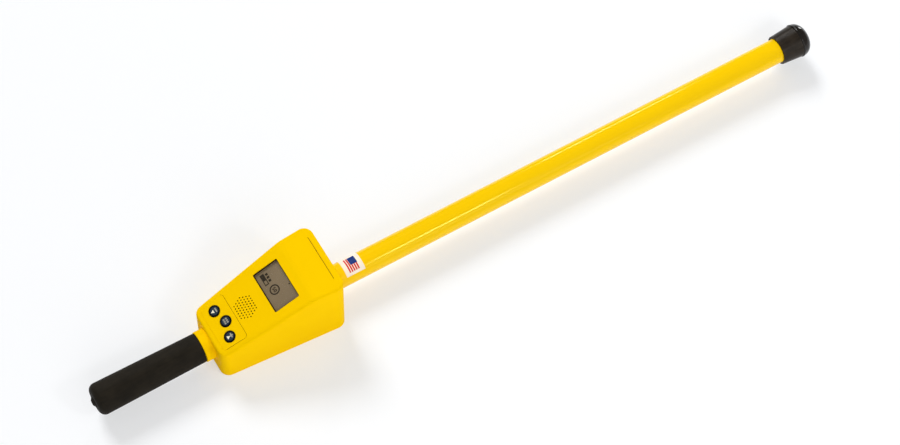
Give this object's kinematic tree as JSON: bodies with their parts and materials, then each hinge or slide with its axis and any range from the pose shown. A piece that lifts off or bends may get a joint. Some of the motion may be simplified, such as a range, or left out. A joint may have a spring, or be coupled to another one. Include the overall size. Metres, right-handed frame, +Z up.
{
  "type": "magnetic locator",
  "caption": "Hand-held magnetic locator: wedge-shaped control housing with keypad, sounder grille and display, rear grip, long sensor tube and rubber tip.",
  "frame": {"origin": "middle of the housing's flat base, on the plane it rests on", "axes": "+X along the tube to the rubber tip, +Y to the left of a user looking along +X, +Z up, out of the display side"},
  "size_m": [1.0555, 0.0992, 0.1093],
  "materials": {
    "yellow_shell": "satin",
    "yellow_base": "satin",
    "yellow_tube": "gloss",
    "yellow_panel": "satin",
    "button": "satin",
    "window": "gloss",
    "display": "satin",
    "seal_rubber": "matte",
    "circuit_board": "satin",
    "chip": "matte",
    "socket": "satin",
    "ribbon": "satin",
    "steel": "satin",
    "brass": "satin",
    "cloth": "matte",
    "dark_plastic": "satin",
    "battery": "satin",
    "grip_rubber": "satin",
    "cap_rubber": "satin",
    "rod": "satin",
    "coil": "gloss",
    "spacer": "matte",
    "lead": "satin",
    "red_lead": "satin"
  },
  "bodies": {
    "housing": {"housing_shell": "yellow_shell", "handle_collar": "yellow_shell", "front_gland": "yellow_shell", "base_plate": "yellow_base", "sensor_tube": "yellow_tube", "handle_tube": "yellow_tube", "keypad_overlay": "yellow_panel", "top_plate": "yellow_panel", "display_window": "window", "display_panel": "display", "display_gasket": "seal_rubber", "base_gasket": "seal_rubber", "front_seal": "seal_rubber", "display_board": "circuit_board", "keypad_board": "circuit_board", "main_board": "circuit_board", "board_chips": "chip", "board_sockets": "socket", "display_spacers": "socket", "contact_block": "socket", "keypad_ribbon": "ribbon", "key_domes": "steel", "keypad_screws": "steel", "main_board_screws": "steel", "base_screws": "steel", "door_hinge_pin": "steel", "strap_screws": "steel", "sounder_disc": "brass", "battery_contacts": "brass", "sounder_cloth": "cloth", "sounder_case": "dark_plastic", "battery_tray": "dark_plastic", "tube_straps": "dark_plastic", "butt_plug": "dark_plastic", "tip_plug": "dark_plastic", "battery_left": "battery", "battery_right": "battery", "grip": "grip_rubber", "tip_cap": "cap_rubber", "sensor_rod": "rod", "sensor_upper": "coil", "sensor_lower": "coil", "rod_spacers": "spacer", "sensor_cable": "lead", "battery_lead": "red_lead", "sounder_lead": "red_lead"},
    "door": {"battery_door": "yellow_base", "door_seal": "seal_rubber", "door_pad": "seal_rubber"},
    "door_screw": {"door_screw": "steel", "door_screw_ring": "dark_plastic"},
    "button_left": {"button_left": "button"},
    "button_middle": {"button_middle": "button"},
    "button_right": {"button_right": "button"}
  },
  "joints": [
    {"name": "left_button_press", "type": "slide", "parent": "housing", "child": "button_left", "axis": [0.3596, 0, -0.9331], "range_m": [0, 0.0006], "stiffness_N_per_m": 1500},
    {"name": "middle_button_press", "type": "slide", "parent": "housing", "child": "button_middle", "axis": [0.3596, 0, -0.9331], "range_m": [0, 0.0006], "stiffness_N_per_m": 1500},
    {"name": "right_button_press", "type": "slide", "parent": "housing", "child": "button_right", "axis": [0.3596, 0, -0.9331], "range_m": [0, 0.0006], "stiffness_N_per_m": 1500},
    {"name": "battery_door_hinge", "type": "hinge", "parent": "housing", "child": "door", "pos_m": [-0.0115, 0, 0.0021], "axis": [0, 1, 0], "range_deg": [0, 90]},
    {"name": "door_screw_turn", "type": "hinge", "parent": "door", "child": "door_screw", "pos_m": [0.058, 0, 0.001], "axis": [0, 0, -1], "range_deg": [0, 720]}
  ]
}
